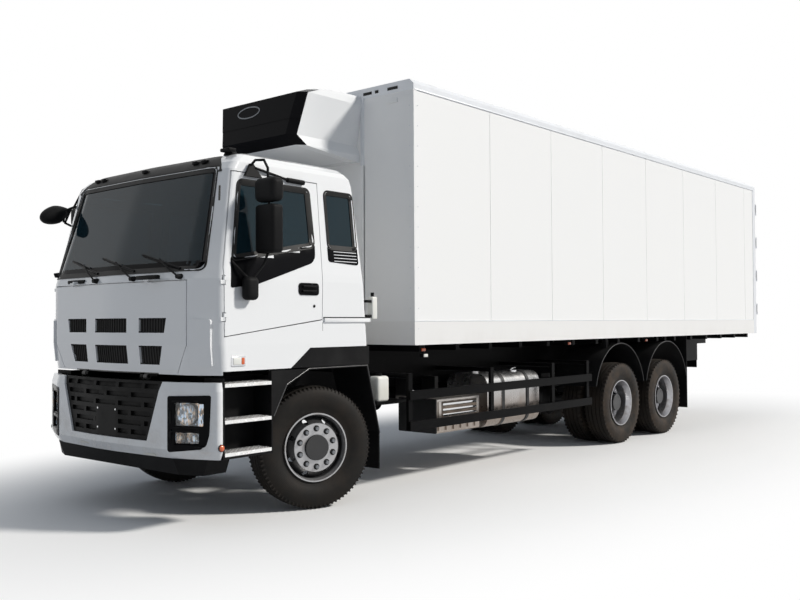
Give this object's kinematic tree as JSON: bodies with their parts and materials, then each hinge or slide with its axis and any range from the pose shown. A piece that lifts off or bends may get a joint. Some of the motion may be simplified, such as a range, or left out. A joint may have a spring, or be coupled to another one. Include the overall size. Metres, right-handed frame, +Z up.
{
  "type": "refrigerated truck",
  "caption": "Three-axle cab-over refrigerated truck with an insulated box, nose-mounted cooling unit, tilting cab and swinging doors.",
  "frame": {"origin": "on the ground under the middle of the whole vehicle", "axes": "the front faces -Y, the vehicle's left is +X and up is +Z"},
  "size_m": [3.04, 11.963, 3.994],
  "materials": {
    "cab_paint": "gloss white cab paint",
    "bumper_paint": "gloss white bumper paint",
    "box_skin": "satin white panel skin",
    "box_edge": "brushed edge profile",
    "unit_shell": "gloss dark shell with pale sides",
    "chassis_black": "satin black chassis paint",
    "engine_grey": "dull cast grey",
    "black_plastic": "grained black plastic",
    "tank_metal": "brushed tank metal",
    "rubber_black": "dusty tyre rubber",
    "rim_steel": "grey painted steel",
    "rim_bright": "bright wheel metal",
    "axle_iron": "painted iron",
    "screen_glass": "tinted glass",
    "lamp_glass": "clear lens",
    "seat_cloth": "woven seat cloth",
    "dash_plastic": "moulded grey plastic",
    "cab_lining": "cab floor lining"
  },
  "bodies": {
    "chassis": {"front_axle": "axle_iron", "rear_bogie": "axle_iron", "frame": "chassis_black", "subframe": "chassis_black", "engine": "engine_grey", "bumper": "bumper_paint", "lower_grille": "black_plastic", "valance": "black_plastic", "headlamps": "black_plastic", "headlamp_lenses": "lamp_glass", "steps": "black_plastic", "front_mudguards": "black_plastic", "rear_mudguards": "black_plastic", "fuel_tank": "tank_metal", "battery_box": "black_plastic", "air_tanks": "chassis_black", "side_guards": "chassis_black", "box_floor": "box_skin", "box_front_wall": "box_skin", "box_side_left": "box_skin", "box_side_right": "box_skin", "box_roof": "box_edge", "box_rear_frame": "box_edge", "cooling_unit": "unit_shell"},
    "cab": {"cab_roof": "cab_paint", "cab_front": "cab_paint", "cab_rear_wall": "cab_paint", "cab_side_left": "cab_paint", "cab_side_right": "cab_paint", "cab_glass": "screen_glass", "cab_floor": "cab_lining", "seats": "seat_cloth", "dashboard": "dash_plastic", "front_mirror": "black_plastic", "arch_trims": "black_plastic"},
    "front_panel": {"front_panel": "cab_paint"},
    "cab_door_left": {"door_left": "cab_paint", "door_glass_left": "screen_glass", "mirrors_left": "black_plastic"},
    "cab_door_right": {"door_right": "cab_paint", "door_glass_right": "screen_glass", "mirrors_right": "black_plastic"},
    "steer_left": {"knuckle_left": "axle_iron"},
    "steer_right": {"knuckle_right": "axle_iron"},
    "front_wheel_left": {"front_tyre_left": "rubber_black", "front_rim_left": "rim_steel"},
    "front_wheel_right": {"front_tyre_right": "rubber_black", "front_rim_right": "rim_steel"},
    "box_door_left": {"rear_door_left": "box_skin"},
    "box_door_right": {"rear_door_right": "box_skin"},
    "rear_wheel_fore_left": {"rear_tyres_fore_left": "rubber_black", "rear_rims_fore_left": "rim_bright"},
    "rear_wheel_fore_right": {"rear_tyres_fore_right": "rubber_black", "rear_rims_fore_right": "rim_bright"},
    "rear_wheel_aft_left": {"rear_tyres_aft_left": "rubber_black", "rear_rims_aft_left": "rim_bright"},
    "rear_wheel_aft_right": {"rear_tyres_aft_right": "rubber_black", "rear_rims_aft_right": "rim_bright"}
  },
  "joints": [
    {"name": "cab_tilt", "type": "hinge", "parent": "chassis", "child": "cab", "pos_m": [0, -5.8815, 1.19], "axis": [1, 0, 0], "range_deg": [0, 50]},
    {"name": "front_panel_lift", "type": "hinge", "parent": "cab", "child": "front_panel", "pos_m": [0, -5.9555, 1.974], "axis": [-1, 0, 0], "range_deg": [0, 60]},
    {"name": "cab_door_left_swing", "type": "hinge", "parent": "cab", "child": "cab_door_left", "pos_m": [1.243, -5.7125, 1.7], "axis": [0, 0, -1], "range_deg": [0, 70]},
    {"name": "cab_door_right_swing", "type": "hinge", "parent": "cab", "child": "cab_door_right", "pos_m": [-1.243, -5.7125, 1.7], "axis": [0, 0, 1], "range_deg": [0, 70]},
    {"name": "steering_left", "type": "hinge", "parent": "chassis", "child": "steer_left", "pos_m": [0.93, -4.5515, 0.535], "axis": [0, 0, 1], "range_deg": [-17.35, 54.65]},
    {"name": "steering_right", "type": "hinge", "parent": "chassis", "child": "steer_right", "pos_m": [-0.93, -4.5515, 0.535], "axis": [0, 0, 1], "range_deg": [-17.35, 54.65]},
    {"name": "front_wheel_left_spin", "type": "hinge", "parent": "steer_left", "child": "front_wheel_left", "pos_m": [1.02664, -4.58412, 0.535], "axis": [0.9475, -0.3198, 0], "continuous": true},
    {"name": "front_wheel_right_spin", "type": "hinge", "parent": "steer_right", "child": "front_wheel_right", "pos_m": [-1.02664, -4.51888, 0.535], "axis": [0.9475, -0.3198, 0], "continuous": true},
    {"name": "rear_wheel_fore_left_spin", "type": "hinge", "parent": "chassis", "child": "rear_wheel_fore_left", "pos_m": [0.924, 0.9775, 0.535], "axis": [1, 0, 0], "continuous": true},
    {"name": "rear_wheel_fore_right_spin", "type": "hinge", "parent": "chassis", "child": "rear_wheel_fore_right", "pos_m": [-0.924, 0.9775, 0.535], "axis": [1, 0, 0], "continuous": true},
    {"name": "rear_wheel_aft_left_spin", "type": "hinge", "parent": "chassis", "child": "rear_wheel_aft_left", "pos_m": [0.924, 2.3105, 0.535], "axis": [1, 0, 0], "continuous": true},
    {"name": "rear_wheel_aft_right_spin", "type": "hinge", "parent": "chassis", "child": "rear_wheel_aft_right", "pos_m": [-0.924, 2.3105, 0.535], "axis": [1, 0, 0], "continuous": true},
    {"name": "box_door_left_swing", "type": "hinge", "parent": "chassis", "child": "box_door_left", "pos_m": [1.3, 5.9695, 2.7], "axis": [0, 0, -1], "range_deg": [0, 250]},
    {"name": "box_door_right_swing", "type": "hinge", "parent": "chassis", "child": "box_door_right", "pos_m": [-1.3, 5.9695, 2.7], "axis": [0, 0, 1], "range_deg": [0, 250]}
  ],
  "couplings": [
    {"joint": "steering_right", "follows": "steering_left", "ratio": 1}
  ]
}
